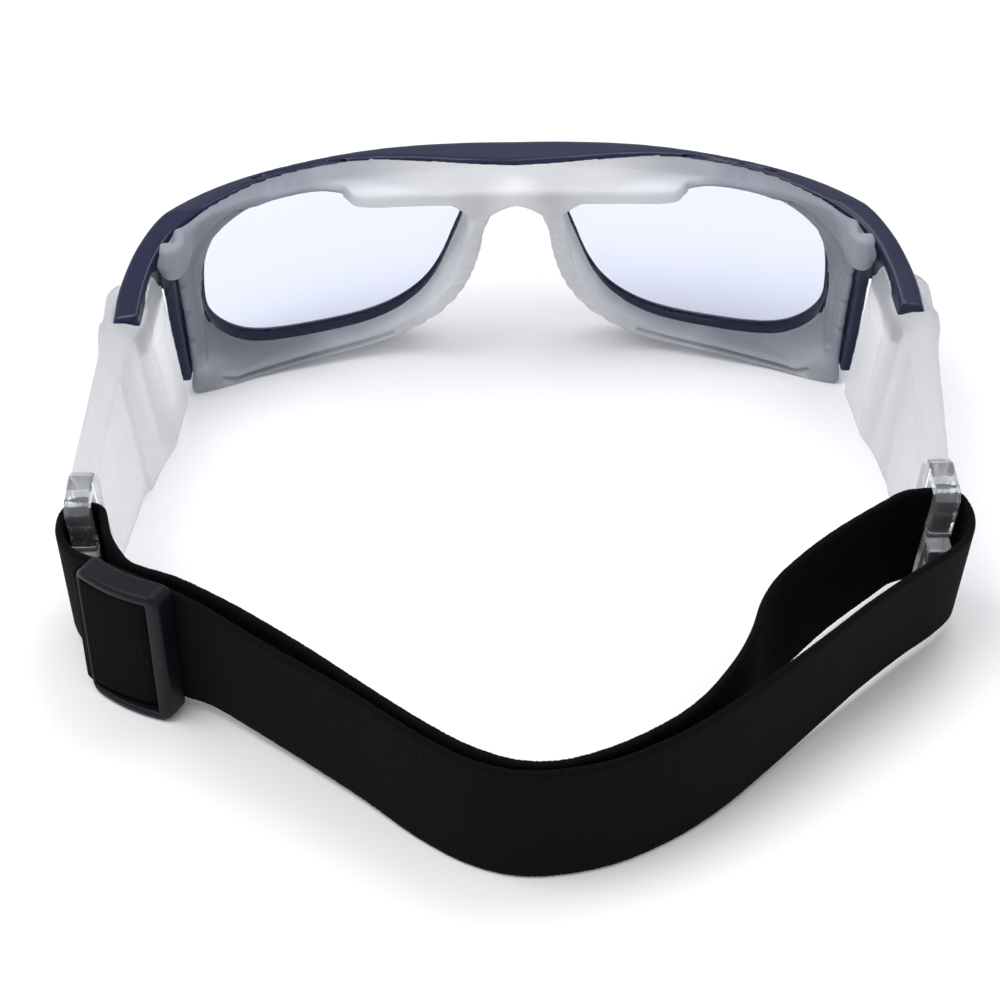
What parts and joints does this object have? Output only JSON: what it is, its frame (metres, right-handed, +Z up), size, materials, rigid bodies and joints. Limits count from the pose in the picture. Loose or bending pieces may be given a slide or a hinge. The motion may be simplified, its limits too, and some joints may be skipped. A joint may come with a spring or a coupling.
{
  "type": "sports protective goggles",
  "caption": "Wrap-around sports goggles that shield the eyes, with clear lenses in a navy frame, a soft silicone face gasket and temples, and an adjustable elastic head strap.",
  "frame": {"origin": "middle of the footprint, on the surface that the goggles stand on", "axes": "+Y is the way the wearer looks, +X is the wearer's right-hand side, +Z is up; the strap lies on the -Y side"},
  "size_m": [0.1626, 0.1534, 0.044],
  "materials": {
    "navy_frame": "gloss moulded polycarbonate",
    "lens": "clear polished polycarbonate with a faint cool tint",
    "silicone": "frosted translucent silicone",
    "clear_plastic": "clear moulded plastic",
    "black_elastic": "knitted elastic webbing",
    "dark_plastic": "moulded plastic, satin"
  },
  "bodies": {
    "frame": {"front_frame": "navy_frame", "lens_right": "lens", "lens_left": "lens", "face_gasket": "silicone", "temple_sleeve_right": "silicone", "temple_sleeve_left": "silicone", "strap_outer_run": "black_elastic", "strap_inner_run": "black_elastic"},
    "temple_right": {"temple_right": "silicone", "strap_clip_right": "clear_plastic", "strap_right_loop": "black_elastic"},
    "temple_left": {"temple_left": "silicone", "strap_clip_left": "clear_plastic", "strap_left_loop": "black_elastic"},
    "slider": {"strap_slider": "dark_plastic"}
  },
  "joints": [
    {"name": "temple_right_flex", "type": "hinge", "parent": "frame", "child": "temple_right", "pos_m": [0.07878, 0.03146, 0.032], "axis": [-0.124, 0, -0.9923], "range_deg": [-8, 25], "stiffness_Nm_per_rad": 0.05, "deforming": ["strap_right_loop", "strap_inner_run"]},
    {"name": "temple_left_flex", "type": "hinge", "parent": "frame", "child": "temple_left", "pos_m": [-0.07522, 0.03146, 0.032], "axis": [-0.124, 0, 0.9923], "range_deg": [-8, 25], "stiffness_Nm_per_rad": 0.05, "deforming": ["strap_outer_run"]},
    {"name": "slider_slide", "type": "slide", "parent": "temple_left", "child": "slider", "axis": [0.8577, -0.5141, 0], "range_m": [-0.005, 0.01], "deforming": ["strap_left_loop"]}
  ]
}
